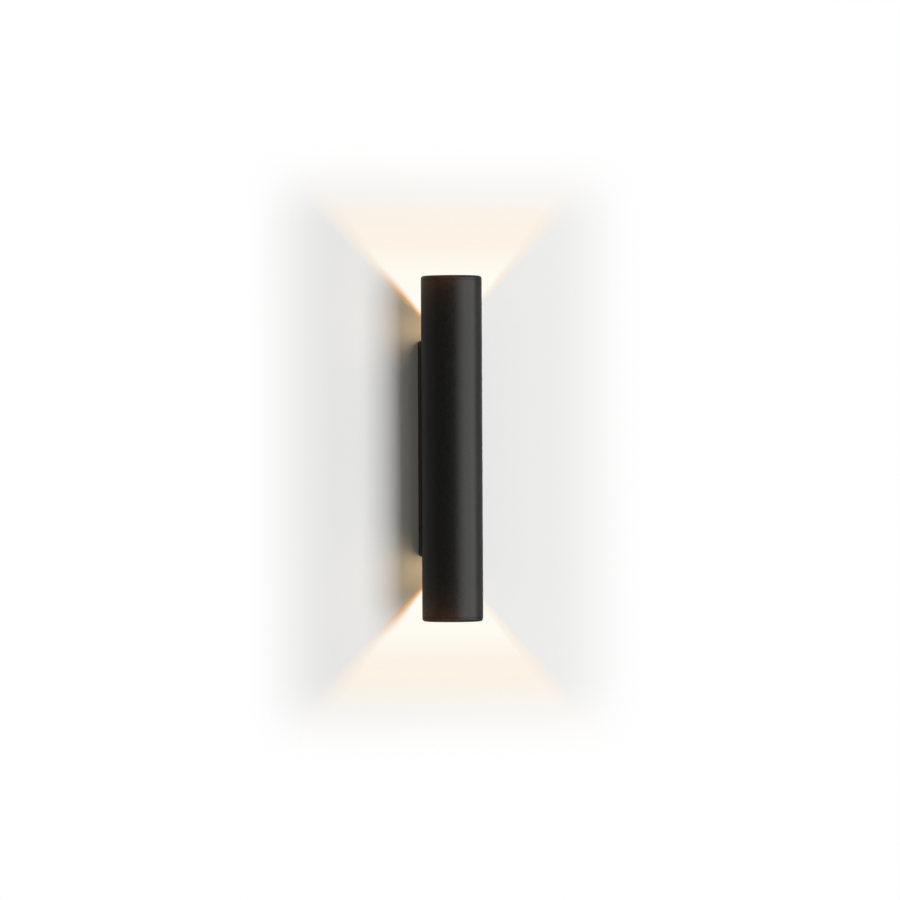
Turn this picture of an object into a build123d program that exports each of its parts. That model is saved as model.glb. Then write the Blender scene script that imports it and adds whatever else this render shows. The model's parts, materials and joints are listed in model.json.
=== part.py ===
from build123d import *
from math import pi
import os

# Tube wall light that shines up and down the wall. Millimetres; +Z is up, the wall is the
# plane y = 0 and the light stands out along -Y. The origin is the centre of the wall-screw
# pattern. A strip bracket on the wall has two hooks. The back box hangs on them by two cross
# bars, and carries the tube. The light is lifted off them once two lock screws are turned
# out. The upper one of most pairs is drawn, and the lower one is its mirror image.

os.makedirs("parts", exist_ok=True)

# ---------------------------------------------------------------- driving sizes

# Body tube
tube_d = 60.0
tube_h = 340.0  # over both end rings
tube_wall = 2.0
tube_standoff = 14.0  # from the wall to the tube's rear line
seat_gap = 0.1  # left between round faces that seat on each other
screw_gap = 0.05  # radial, round a screw in its own thread
bolt_gap = 0.2  # radial, round a screw in a plain hole

# Rear light windows: beyond the back box, each tube end is cut away at the rear
window_back = 6.0  # from the tube's axis back to the cut edge
window_step = 3.6  # the cut starts this far inside the back box's end
window_corner_r = 4.0

# End rings
ring_lip_h = 4.0
ring_edge_r = 3.0
ring_inner_edge_r = 0.8
ring_wall = 1.6
ring_spigot_h = 8.0
ring_seam_bevel = 0.3  # on the two edges that meet in the seam with the tube

# Back box, an open-backed tray with a cradle for the tube in its front
box_w = 55.5
box_h = 214.0
box_depth = 20.0  # beside the cradle
box_wall = 2.0
box_corner_r = 3.0
box_edge_r = 1.0

# Wall bracket, bent from one strip
plate_w = 34.0
plate_end_gap = 17.0  # from the strip's end to the back box's end
plate_t = 1.5
plate_corner_r = 4.0
slot_up = 12.0  # from the strip's end to the middle of a slot
slot_w = 4.6
slot_l = 9.6
cable_hole_r = 10.0
cable_hole_z = 22.0
hook_w = 14.0
hook_slot = 3.5  # from the strip's front face to the lip's rear face
hook_lip_h = 8.0
bend_root = 5.0  # of a bent piece's profile inside the strip
bend_r = 0.3  # inside radius of a bend
relief_gap = 0.4  # beside what is bent out of the strip
upper_hook_drop = 24.0  # from the upper slot down to the hook's arm, where a bar rests
lower_hook_rise = 16.0  # from the lower slot up to the hook's arm
lift_gap = 1.0  # left under a bar as the raised light comes off the hooks
ear_below = 8.0  # from a lock screw's axis to the ear's lower edge
ear_above = 4.0  # the same to its upper edge, once the light is raised
ear_margin = 2.0  # of the ear in front of the lock screw

# Hanger bars
bar_side_gap = 0.5
bar_h = 10.0
bar_t = 1.5
bar_corner = 0.7
lug_w = 8.0
lug_h = 8.0
lug_screw_l = 8.0  # into the lug

# Lock screws, one in each side of the back box
lock_d = 4.0
lock_y = -7.0
lock_up = 10.0  # from the strip's lower end
lock_recess = 0.4  # below the box's side
lock_tip_gap = 0.25  # from its tip to the bracket's ear
lock_point = 0.7
lock_boss_d = 9.0
lock_boss_h = 3.2
lock_hex = 2.0  # across flats
lock_hex_depth = 2.2
lock_running_gap = 0.05

# Screws: shank diameter, head diameter, head height
m3_d, m3_head_d, m3_head_h = 3.0, 5.5, 1.6
m25_d, m25_head_d, m25_head_h = 2.5, 4.5, 1.3
screw_head_r = 0.5  # on the head's rim

# Driver carrier, a tube-shaped segment with a flat front
carrier_t = 5.9
carrier_end = 1.5  # beyond the driver's ears
carrier_groove_w = 8.0
carrier_groove_depth = 2.0
carrier_screw_z = 14.0
carrier_screw_l = 9.0

# LED driver
driver_w = 32.0
driver_h = 60.0
driver_depth = 24.0
driver_base_t = 1.6
driver_wall = 1.6
driver_ear_w, driver_ear_h = 12.0, 6.0
driver_edge_r = 1.5
driver_post_d = 3.0
driver_post_h = 2.4
driver_board_t = 1.6
driver_board_gap = 0.3
driver_screw_l = 6.0
transformer_w, transformer_h, transformer_depth = 17.0, 15.0, 13.0
transformer_core_t = 5.0
transformer_z = 3.0
capacitor_d, capacitor_l = 8.0, 13.0
capacitor_x, capacitor_up = 7.5, 14.0  # up from the driver's lower end

# LED module
sink_fin_h = 7.0
sink_base_t = 5.0
sink_core_r = 10.0
fin_count = 18
fin_t = 1.5
wire_notch_side = 1.5  # beside the two wires
wire_notch_depth = 6.0
sink_screw_l = 12.0
pad_side, pad_t = 20.0, 0.3
board_side, board_t = 19.0, 1.4
emitter_r, emitter_t = 7.0, 0.5
holder_t = 3.2
holder_mouth_r = 9.0
holder_pocket_gap = 0.2
holder_web = 1.35  # from the pocket to a screw's counterbore
holder_rim = 1.55  # from a counterbore to the holder's edge
holder_screw_l = 5.2
reflector_step = 0.3  # of its throat outside the holder's mouth
reflector_bulge = 1.6  # of the curve outside its chord
reflector_h = 27.0
reflector_wall = 1.2
reflector_flange_w = 3.2
reflector_flange_t = 1.2
glass_t = 2.0
seal_t = 0.8
seal_w = 1.4
bezel_wall = 3.3
bezel_skirt = 3.5  # below the reflector's flange
bezel_lip_t = 2.5
bezel_flare = 1.8  # by which the lip opens outwards

# Wiring
led_lead_d = 1.6
led_lead_gap = 2.8  # between the two
led_lead_out = 18.0  # from the carrier's flat to where they leave the driver
led_lead_r = 4.0
mains_lead_d = 2.0
mains_lead_gap = 0.7  # between the two
mains_lead_out = 6.0  # from the carrier's flat to where they leave the driver
mains_lead_r = 4.5
lead_hole_gap = 0.1
lead_grip = 3.0  # of a lead inside the piece that it enters
grommet_slack = 0.25  # round the two leads
grommet_wall = 1.2
grommet_flange_w = 1.2
grommet_flange_t = 1.4
grommet_room = 0.25  # from its flange to the carrier and to the fins

# Terminal block, earth tag
block_pitch = 8.0
block_poles = 3
block_h = 16.0
block_clear = 1.4  # from the block to the strip on the wall
block_edge_r = 0.8
block_groove_w = 1.0
block_groove_depth = 1.2
block_pad_rise = 0.5  # of its pad above the cradle's crown
block_pad_margin = 1.0
block_wire_y = 4.4  # from the block's seat to the wires
block_well_r = 1.7
block_screw_z = 4.5
block_screw_recess = 0.4
block_fix_depth = 2.2  # of its fixing screws into the pad
tag_z = -30.0
tag_r, tag_t = 3.4, 0.8
tag_boss_r = 3.6
tag_boss_h = 5.0
tag_boss_gap = 1.65  # from the boss to the back box's side
tag_tail_w, tag_tail_l = 2.8, 3.0
tag_barrel_wall = 0.5
tag_barrel_l = 5.0
earth_screw_l = 6.0
pole_run = 9.0  # of a wire that moves over to its pole
pole_end_run = 8.0  # of a wire straight below its pole
earth_lead_r = 3.5

# ---------------------------------------------------------------- places that follow

tube_r = tube_d / 2
bore_r = tube_r - tube_wall
axis_y = -(tube_standoff + tube_r)
rear_y = -tube_standoff
bore_rear_y = rear_y - tube_wall
cradle_r = tube_r + seat_gap
floor_r = cradle_r + box_wall  # of the box's floor over the cradle
floor_y = axis_y + floor_r
window_y = axis_y + window_back
window_z = box_h / 2 - window_step
box_inner_w = box_w - 2 * box_wall
box_inner_h = box_h - 2 * box_wall
ring_seam_z = tube_h / 2 - ring_lip_h
insert_r = bore_r - seat_gap

lip_back_y = -plate_t - hook_slot
bar_front_y = lip_back_y + bend_r
bar_back_y = bar_front_y + bar_t
bar_w = box_inner_w - 2 * bar_side_gap
lug_screw_x = (box_inner_w - lug_w) / 2
plate_h = box_h - 2 * plate_end_gap
slot_z = plate_h / 2 - slot_up
hook_levels = (slot_z - upper_hook_drop, -slot_z + lower_hook_rise)
lift = hook_lip_h + lift_gap
lock_z = -plate_h / 2 + lock_up
ear_low_z = lock_z - ear_below
ear_high_z = lock_z + lift + ear_above
ear_front_y = lock_y - lock_d / 2 - ear_margin

mains_lead_x = (mains_lead_d + mains_lead_gap) / 2
led_lead_x = (led_lead_d + led_lead_gap) / 2
grommet_bore_r = mains_lead_x + mains_lead_d / 2 + grommet_slack
grommet_body_r = grommet_bore_r + grommet_wall
grommet_flange_r = grommet_body_r + grommet_flange_w

carrier_h = driver_h + 2 * (driver_ear_h + carrier_end)
sink_gap = 2 * (grommet_flange_r + grommet_room)
sink_bottom_z = carrier_h / 2 + sink_gap
sink_plate_z = sink_bottom_z + sink_fin_h
sink_face_z = sink_plate_z + sink_base_t
sink_screw_z = sink_plate_z + sink_base_t / 2
notch_y = axis_y - insert_r + wire_notch_depth
grommet_z = -(carrier_h + sink_gap) / 2  # between the carrier and the lower fins
board_z = sink_face_z + pad_t
emitter_z = board_z + board_t
holder_top_z = sink_face_z + holder_t
holder_screw_seat_z = holder_top_z - m3_head_h
holder_screw_x = pad_side / 2 + holder_pocket_gap + holder_web + m3_head_d / 2 + bolt_gap
holder_r = holder_screw_x + m3_head_d / 2 + bolt_gap + holder_rim
led_lead_z = sink_face_z + holder_t / 2
led_lead_end_y = axis_y - holder_r + lead_grip
led_lead_turn_z = sink_bottom_z - sink_gap / 2
led_lead_run_y = notch_y - wire_notch_depth / 2
rim_z = holder_top_z + reflector_h
glass_z = rim_z
seal_z = glass_z + glass_t
bezel_lip_z = seal_z + seal_t
bezel_top_z = bezel_lip_z + bezel_lip_t
seat_bore_r = insert_r - bezel_wall
glass_r = seat_bore_r - seat_gap  # and of the reflector's flange
seal_inner_r = glass_r - seal_w
reflector_rim_r = glass_r - reflector_flange_w
reflector_throat_r = holder_mouth_r + reflector_step

carrier_y = axis_y + insert_r - carrier_t
led_lead_exit_y = carrier_y - led_lead_out
mains_lead_exit_y = carrier_y - mains_lead_out
driver_base_y = carrier_y - driver_base_t
driver_front_y = carrier_y - driver_depth
driver_screw_z = driver_h / 2 + driver_ear_h / 2
capacitor_z = -driver_h / 2 + capacitor_up
board_back_y = driver_base_y - driver_post_h
board_front_y = board_back_y - driver_board_t

block_seat_y = floor_y + block_pad_rise
block_back_y = -plate_t - block_clear
block_w = block_pitch * block_poles + 2 * block_edge_r
pole_x = [block_pitch * (n - (block_poles - 1) / 2) for n in range(block_poles)]
wire_y = block_seat_y + block_wire_y
fix_x = [(a + b) / 2 for a, b in zip(pole_x, pole_x[1:])]
tag_x = box_inner_w / 2 - tag_boss_gap - tag_boss_r
tag_seat_y = -box_depth + box_wall + tag_boss_h
tag_barrel_r = mains_lead_d / 2 + lead_hole_gap + tag_barrel_wall
tag_barrel_y = tag_seat_y + tag_barrel_r
tag_tail_z = tag_z + tag_r + tag_tail_l


# ---------------------------------------------------------------- shapes used throughout


def slab(low, high):
    """A block between two corners."""
    size = [b - a for a, b in zip(low, high)]
    middle = [(a + b) / 2 for a, b in zip(low, high)]
    return Pos(*middle) * Box(*size)


def rod(radius, start, end):
    """A round bar between two points."""
    start, end = Vector(start), Vector(end)
    base = Plane(origin=start, z_dir=end - start)
    return base * extrude(Circle(radius), (end - start).length)


def round_z(radius, low_z, high_z):
    """A round bar on the tube's axis."""
    return rod(radius, (0, axis_y, low_z), (0, axis_y, high_z))


def turned(*outline):
    """A solid turned about the tube's axis from lines through (radius, height) points."""
    face = make_face(Polyline(*[(r, 0, z) for r, z in outline], close=True))
    return Pos(0, axis_y, 0) * revolve(face, Axis.Z)


def screw(shank_d, length, head_d, head_h, seat, away):
    """A pan-head screw whose head sits on seat and faces away."""
    head = extrude(Circle(head_d / 2), head_h)
    head = fillet(head.edges().group_by(Axis.Z)[-1], screw_head_r)
    shank = Pos(0, 0, -length) * extrude(Circle(shank_d / 2), length)
    return Plane(origin=seat, z_dir=away) * (head + shank)


def m3(length, seat, away):
    """A pan-head M3 screw."""
    return screw(m3_d, length, m3_head_d, m3_head_h, seat, away)


def m25(length, seat, away):
    """A pan-head M2.5 screw."""
    return screw(m25_d, length, m25_head_d, m25_head_h, seat, away)


def lead(diameter, turn_r, *points):
    """An insulated wire along straight runs joined by tangent arcs."""
    path = FilletPolyline(*points, radius=turn_r)
    section = Plane(origin=path @ 0, z_dir=path % 0) * Circle(diameter / 2)
    wire = sweep(section, path=path)
    expected = pi * (diameter / 2) ** 2 * path.length
    print(f"lead {path.length:.1f} long, radius {turn_r}, volume {wire.volume / expected:.4f} of run")
    return wire


def lower(shape):
    """The lower half's copy of an upper piece."""
    return mirror(shape, about=Plane.XY)


def write(node, *solids):
    """One file for a sub-part; several solids stay separate."""
    shape = solids[0] if len(solids) == 1 else Compound(children=list(solids))
    export_step(shape, f"parts/{node}.step")


def write_pair(node, upper):
    """The files of an upper piece and of its mirror image."""
    write(f"{node}_top", upper)
    write(f"{node}_bottom", lower(upper))


# ---------------------------------------------------------------- casing


def rear_window():
    """What is cut from the rear of the tube's upper end to let light onto the wall."""
    cutter = slab((-tube_d, window_y, window_z), (tube_d, 0, tube_h))
    corner = cutter.edges().filter_by(Axis.X).sort_by(lambda e: e.center().Y + e.center().Z)[0]
    return fillet(corner, window_corner_r)


def rear_holes(radius, heights):
    """Holes through the tube's rear wall and the cradle behind it."""
    return [rod(radius, (0, axis_y, z), (0, 0, z)) for z in heights]


def fixing_holes():
    """The holes that the tube and the back box share."""
    screws = (carrier_screw_z, -carrier_screw_z, sink_screw_z, -sink_screw_z)
    holes = rear_holes(m3_d / 2 + bolt_gap, screws)
    return holes + rear_holes(grommet_body_r + seat_gap, [grommet_z])


def body_tube():
    """The tube between the two end rings, cut away at the rear beyond the back box."""
    tube = extrude(Circle(tube_r) - Circle(bore_r), ring_seam_z, both=True)
    ends = tube.edges().filter_by(GeomType.CIRCLE)
    ends = [edge for edge in ends if edge.radius > bore_r + tube_wall / 2]
    tube = Pos(0, axis_y, 0) * chamfer(ends, ring_seam_bevel)
    return tube - [rear_window(), lower(rear_window())] - fixing_holes()


def end_ring():
    """The upper rim, with its spigot in the tube and its outer edge well rounded."""
    inner_r = insert_r - ring_wall
    top_z = tube_h / 2
    low_z = ring_seam_z - ring_spigot_h
    ring = turned(
        (inner_r, low_z),
        (insert_r, low_z),
        (insert_r, ring_seam_z),
        (tube_r - ring_seam_bevel, ring_seam_z),
        (tube_r, ring_seam_z + ring_seam_bevel),
        (tube_r, top_z),
        (inner_r, top_z),
    )
    ring = fillet(ring.edges().group_by(Axis.Z)[-1].sort_by(SortBy.RADIUS)[-1], ring_edge_r)
    ring = fillet(ring.edges().group_by(Axis.Z)[-1].sort_by(SortBy.RADIUS)[0], ring_inner_edge_r)
    return ring - rear_window()


def back_box():
    """The tray behind the tube: cradle in front, and lugs, pad and bosses in one piece with it."""
    front = Plane.XZ * RectangleRounded(box_w, box_h, box_corner_r)
    block = extrude(front, box_depth)
    block = fillet(block.faces().sort_by(Axis.Y)[0].edges(), box_edge_r)
    outside = block - round_z(cradle_r, -box_h, box_h)
    mouth = Plane.XZ * RectangleRounded(box_inner_w, box_inner_h, box_corner_r - box_wall)
    inside = extrude(mouth, box_depth - box_wall) - round_z(floor_r, -box_h, box_h)

    half = box_inner_w / 2
    solid = []
    for level in hook_levels:
        for side in (-1, 1):
            edges = sorted((side * (half - lug_w), side * (half + box_wall / 2)))
            z = level + bar_h / 2
            low = (edges[0], -box_depth, z - lug_h / 2)
            solid.append(slab(low, (edges[1], bar_front_y, z + lug_h / 2)))
    pad_w = block_w / 2 + block_pad_margin
    pad_h = block_h / 2 + block_pad_margin
    solid.append(slab((-pad_w, -box_depth, -pad_h), (pad_w, block_seat_y, pad_h)))
    solid.append(rod(tag_boss_r, (tag_x, -box_depth, tag_z), (tag_x, tag_seat_y, tag_z)))
    for side in (-1, 1):
        start = (side * (half - lock_boss_h), lock_y, lock_z)
        solid.append(rod(lock_boss_d / 2, start, (side * box_w / 2, lock_y, lock_z)))
    bosses = [outside & piece for piece in solid]

    m3_thread_r = m3_d / 2 + screw_gap
    m25_thread_r = m25_d / 2 + screw_gap
    holes = fixing_holes()
    for x, z in lug_screws():
        holes.append(rod(m3_thread_r, (x, bar_front_y, z), (x, bar_front_y - lug_screw_l, z)))
    for x in fix_x:
        depth = block_fix_depth + screw_gap
        holes.append(rod(m25_thread_r, (x, block_seat_y, 0), (x, block_seat_y - depth, 0)))
    depth = earth_screw_l + screw_gap
    holes.append(rod(m3_thread_r, (tag_x, tag_seat_y, tag_z), (tag_x, tag_seat_y - depth + tag_t, tag_z)))
    lock_r = lock_d / 2 + lock_running_gap
    holes.append(rod(lock_r, (-box_w, lock_y, lock_z), (box_w, lock_y, lock_z)))
    return (outside - inside) + bosses - holes


# ---------------------------------------------------------------- hanging on the wall


def lug_screws():
    """Where the bars are screwed to the box's lugs, as (x, z)."""
    return [(side * lug_screw_x, level + bar_h / 2) for level in hook_levels for side in (-1, 1)]


def sheet(along, corner_radii, *points):
    """A strip of the bracket's thickness, bent along points and as wide as along."""
    path = FilletPolyline(*points, radius=list(corner_radii))
    return extrude(make_face(offset(path, plate_t, side=Side.RIGHT, closed=True)), along / 2, both=True)


def hook(level):
    """An arm out from the strip, which a bar rests on, and a lip in front of the bar."""
    return sheet(
        hook_w,
        (bend_r + plate_t, bend_r),
        (0, 0, level - bend_root),
        (0, 0, level),
        (0, lip_back_y, level),
        (0, lip_back_y, level + hook_lip_h),
    )


def ear():
    """The tab bent forward from the strip's right edge, which a lock screw bears on."""
    outer_x = plate_w / 2
    tab = sheet(
        ear_high_z - ear_low_z,
        (bend_r + plate_t,),
        (outer_x - bend_root, 0, 0),
        (outer_x, 0, 0),
        (outer_x, ear_front_y, 0),
    )
    return Pos(0, 0, (ear_low_z + ear_high_z) / 2) * tab


def wall_bracket():
    """The strip, its two hooks, its two ears and its holes."""
    strip = extrude(Plane.XZ * RectangleRounded(plate_w, plate_h, plate_corner_r), plate_t)
    bend = bend_r + plate_t
    half_hook = hook_w / 2 + relief_gap
    for level in hook_levels:
        low, high = level - bend, level - lip_back_y + hook_lip_h
        strip -= slab((-half_hook, -plate_t, low), (half_hook, 0, high))
    for side in (-1, 1):
        x = sorted((side * (plate_w / 2 - bend), side * plate_w / 2))
        strip -= slab((x[0], -plate_t, ear_low_z - relief_gap), (x[1], 0, ear_high_z + relief_gap))
        slot = Pos(0, side * slot_z) * SlotOverall(slot_l, slot_w, rotation=90)
        strip -= extrude(Plane.XZ * slot, plate_t)
    strip -= rod(cable_hole_r, (0, 0, cable_hole_z), (0, -plate_t, cable_hole_z))
    right_ear = ear()
    return strip + [hook(level) for level in hook_levels] + [right_ear, mirror(right_ear, about=Plane.YZ)]


def hanger_bars():
    """The two flat bars across the back box, which rest on the hooks."""
    bars = []
    for level in hook_levels:
        bar = slab((-bar_w / 2, bar_front_y, level), (bar_w / 2, bar_back_y, level + bar_h))
        bar = fillet(bar.edges().filter_by(Axis.Y), bar_corner)
        bars.append(bar)
    holes = [rod(m3_d / 2 + bolt_gap, (x, -box_depth, z), (x, 0, z)) for x, z in lug_screws()]
    return [bar - holes for bar in bars]


def hanger_screws():
    """Two screws through each bar into the back box's lugs."""
    length = lug_screw_l + bar_t - screw_gap
    return [m3(length, (x, bar_back_y, z), (0, 1, 0)) for x, z in lug_screws()]


def lock_screw(side):
    """A socket screw through the box's side that bears on the bracket's ear."""
    tip_x = plate_w / 2 + lock_tip_gap
    head_x = box_w / 2 - lock_recess
    body = extrude(Circle(lock_d / 2), head_x - tip_x)
    body = chamfer(body.edges().group_by(Axis.Z)[0], lock_point)
    socket = Pos(0, 0, head_x - tip_x - lock_hex_depth) * extrude(
        RegularPolygon(lock_hex / 2, 6, major_radius=False), lock_hex_depth
    )
    return Plane(origin=(side * tip_x, lock_y, lock_z), z_dir=(side, 0, 0)) * (body - socket)


# ---------------------------------------------------------------- LED modules


def heat_sink():
    """A plate with fins below it, which fills the tube's bore, notched for the wires."""
    plate = round_z(insert_r, sink_plate_z, sink_face_z)
    core = round_z(sink_core_r, sink_bottom_z, sink_plate_z)
    fin = Pos(insert_r / 2, 0, 0) * Box(insert_r, fin_t, sink_fin_h)
    spread = Pos(0, axis_y, sink_bottom_z + sink_fin_h / 2) * PolarLocations(0, fin_count)
    fins = [where * fin for where in spread]
    round_fins = round_z(insert_r, sink_bottom_z, sink_plate_z) & (core + fins)
    half = led_lead_x + led_lead_d / 2 + wire_notch_side
    notch = slab((-half, axis_y - tube_r, sink_bottom_z), (half, notch_y, sink_face_z))
    thread_r = m3_d / 2 + screw_gap
    tip_y = floor_y - sink_screw_l - screw_gap
    holes = [rod(thread_r, (0, tip_y, sink_screw_z), (0, 0, sink_screw_z))]
    for side in (-1, 1):
        x = side * holder_screw_x
        bottom = holder_screw_seat_z - holder_screw_l - screw_gap
        holes.append(rod(thread_r, (x, axis_y, bottom), (x, axis_y, sink_face_z)))
    return plate + round_fins - notch - holes


def square_on_axis(side, low_z, high_z):
    """A square block centred on the tube's axis."""
    half = side / 2
    return slab((-half, axis_y - half, low_z), (half, axis_y + half, high_z))


def cob_holder():
    """The white clamp that holds the LED board down and takes its two wires."""
    body = round_z(holder_r, sink_face_z, holder_top_z)
    pocket_top_z = emitter_z + screw_gap
    pocket = square_on_axis(pad_side + 2 * holder_pocket_gap, sink_face_z, pocket_top_z)
    mouth = round_z(holder_mouth_r, sink_face_z, holder_top_z)
    cuts = [pocket, mouth]
    for side in (-1, 1):
        x = side * holder_screw_x
        cuts.append(rod(m3_d / 2 + bolt_gap, (x, axis_y, sink_face_z), (x, axis_y, holder_top_z)))
        head_r = m3_head_d / 2 + bolt_gap
        cuts.append(rod(head_r, (x, axis_y, holder_screw_seat_z), (x, axis_y, holder_top_z)))
        start = (side * led_lead_x, axis_y - holder_r, led_lead_z)
        end = (side * led_lead_x, led_lead_end_y, led_lead_z)
        cuts.append(rod(led_lead_d / 2 + lead_hole_gap, start, end))
    return body - cuts


def reflector():
    """A bowl that opens upwards in one curve, with a flat flange round its rim."""
    throat = Vector(reflector_throat_r, 0, holder_top_z)
    rim = Vector(reflector_rim_r, 0, rim_z)
    chord = rim - throat
    middle = (throat + rim) / 2 + Vector(chord.Z, 0, -chord.X).normalized() * reflector_bulge
    out = Vector(reflector_wall, 0, 0)
    flange_z = rim_z - reflector_flange_t
    inner = ThreePointArc(throat, middle, rim)
    outer = ThreePointArc(throat + out, middle + out, rim + out)
    face = make_face([inner, Line(rim, rim + out), outer, Line(throat + out, throat)])
    bowl = Pos(0, axis_y, 0) * revolve(face, Axis.Z)
    flange = round_z(glass_r, flange_z, rim_z)
    flange -= round_z(reflector_rim_r + reflector_wall / 2, flange_z, rim_z)
    return bowl + flange


def glass_seal():
    """The flat ring between the glass and the bezel's lip."""
    ring = round_z(glass_r, seal_z, bezel_lip_z)
    return ring - round_z(seal_inner_r, seal_z, bezel_lip_z)


def bezel():
    """The black ring that holds the glass, with a lip that flares open upwards."""
    low_z = rim_z - reflector_flange_t - bezel_skirt
    return turned(
        (seat_bore_r, low_z),
        (insert_r, low_z),
        (insert_r, bezel_top_z),
        (seal_inner_r + bezel_flare, bezel_top_z),
        (seal_inner_r, bezel_lip_z),
        (seat_bore_r, bezel_lip_z),
    )


def led_module():
    """Every piece of the upper module, by name."""
    return {
        "heat_sink": heat_sink(),
        "thermal_pad": square_on_axis(pad_side, sink_face_z, board_z),
        "led_board": square_on_axis(board_side, board_z, emitter_z),
        "led_emitter": round_z(emitter_r, emitter_z, emitter_z + emitter_t),
        "cob_holder": cob_holder(),
        "reflector": reflector(),
        "glass": round_z(glass_r, glass_z, seal_z),
        "glass_seal": glass_seal(),
        "bezel": bezel(),
    }


def holder_screws():
    """The upper holder's two screws."""
    return [
        m3(holder_screw_l, (side * holder_screw_x, axis_y, holder_screw_seat_z), (0, 0, 1))
        for side in (-1, 1)
    ]


# ---------------------------------------------------------------- driver and carrier


def driver_carrier():
    """A segment that fills the rear of the bore, with a flat front and a shallow groove."""
    segment = round_z(insert_r, -carrier_h / 2, carrier_h / 2)
    segment &= slab((-tube_r, carrier_y, -carrier_h), (tube_r, 0, carrier_h))
    half = carrier_groove_w / 2
    groove = slab((-half, carrier_y, -carrier_h), (half, carrier_y + carrier_groove_depth, carrier_h))
    thread_r = m3_d / 2 + screw_gap
    holes = []
    for side in (-1, 1):
        z = side * carrier_screw_z
        holes.append(rod(thread_r, (0, carrier_y, z), (0, 0, z)))
        z = side * driver_screw_z
        tip_y = driver_base_y + driver_screw_l + screw_gap
        holes.append(rod(thread_r, (0, carrier_y, z), (0, tip_y, z)))
    return segment - groove - holes


def driver_base():
    """The driver's floor, with an ear at each end and four posts for the circuit board."""
    outline = Plane.XZ * RectangleRounded(driver_w, driver_h, driver_edge_r)
    floor = Pos(0, carrier_y, 0) * extrude(outline, driver_base_t)
    ears = Plane.XZ * RectangleRounded(driver_ear_w, driver_h + 2 * driver_ear_h, driver_edge_r)
    floor += Pos(0, carrier_y, 0) * extrude(ears, driver_base_t)
    for x, z in board_corners():
        floor += rod(driver_post_d / 2, (x, driver_base_y, z), (x, board_back_y, z))
    hole_r = m3_d / 2 + bolt_gap
    return floor - [
        rod(hole_r, (0, driver_base_y, side * driver_screw_z), (0, carrier_y, side * driver_screw_z))
        for side in (-1, 1)
    ]


def board_size():
    """Width and height of the circuit board inside the driver's cover."""
    margin = driver_wall + driver_board_gap
    return driver_w - 2 * margin, driver_h - 2 * (margin + lead_grip)


def board_corners():
    """Where the driver's board stands on its posts, as (x, z)."""
    width, height = board_size()
    inset = driver_post_d
    return [
        (x * (width / 2 - inset), z * (height / 2 - inset)) for x in (-1, 1) for z in (-1, 1)
    ]


def driver_cover():
    """The driver's cover, an open-backed shell with holes for its wires."""
    depth = driver_depth - driver_base_t
    outer = Pos(0, driver_base_y, 0) * extrude(
        Plane.XZ * RectangleRounded(driver_w, driver_h, driver_edge_r), depth
    )
    outer = fillet(outer.faces().sort_by(Axis.Y)[0].edges(), driver_edge_r)
    low = (-driver_w / 2 + driver_wall, driver_front_y + driver_wall, -driver_h / 2 + driver_wall)
    high = (driver_w / 2 - driver_wall, driver_base_y, driver_h / 2 - driver_wall)
    holes = []
    for side in (-1, 1):
        x, y = side * led_lead_x, led_lead_exit_y
        holes.append(rod(led_lead_d / 2 + lead_hole_gap, (x, y, -driver_h), (x, y, driver_h)))
        x, y = side * mains_lead_x, mains_lead_exit_y
        holes.append(rod(mains_lead_d / 2 + lead_hole_gap, (x, y, -driver_h), (x, y, 0)))
    return outer - slab(low, high) - holes


def driver_board():
    """The driver's circuit board."""
    width, height = board_size()
    return slab((-width / 2, board_front_y, -height / 2), (width / 2, board_back_y, height / 2))


def driver_transformer():
    """A ferrite core round a wound bobbin, standing on the board."""
    half_w, half_h = transformer_w / 2, transformer_h / 2
    z = transformer_z
    top_y = board_front_y - transformer_depth
    inset = transformer_core_t / 2
    core = slab((-half_w, top_y, z - inset), (half_w, board_front_y, z + inset))
    bobbin = slab((-half_w + inset, top_y + inset, z - half_h), (half_w - inset, board_front_y, z + half_h))
    bobbin = fillet(bobbin.edges().filter_by(Axis.X), transformer_core_t / 4)
    return core + bobbin


def driver_capacitors():
    """Two capacitors side by side, standing on the board."""
    cans = []
    for side in (-1, 1):
        start = (side * capacitor_x, board_front_y, capacitor_z)
        end = (side * capacitor_x, board_front_y - capacitor_l, capacitor_z)
        can = rod(capacitor_d / 2, start, end)
        cans.append(fillet(can.edges().filter_by(GeomType.CIRCLE).sort_by(Axis.Y)[0], screw_head_r))
    return cans


# ---------------------------------------------------------------- wiring


def cable_grommet():
    """A rubber bush through the tube and the cradle, its flanges shaped to both."""
    z = grommet_z
    inner = rod(grommet_flange_r, (0, bore_rear_y - grommet_flange_t, z), (0, rear_y, z))
    inner &= round_z(insert_r, z - tube_r, z + tube_r)
    outer = rod(grommet_flange_r, (0, rear_y, z), (0, floor_y + grommet_flange_t, z))
    outer -= round_z(floor_r + seat_gap / 2, z - tube_r, z + tube_r)
    inner_y, outer_y = bore_rear_y - grommet_flange_t, floor_y + grommet_flange_t
    neck = rod(grommet_body_r, (0, inner_y, z), (0, outer_y, z))
    bush = inner + outer + neck - rod(grommet_bore_r, (0, inner_y, z), (0, outer_y, z))
    return bush


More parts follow.
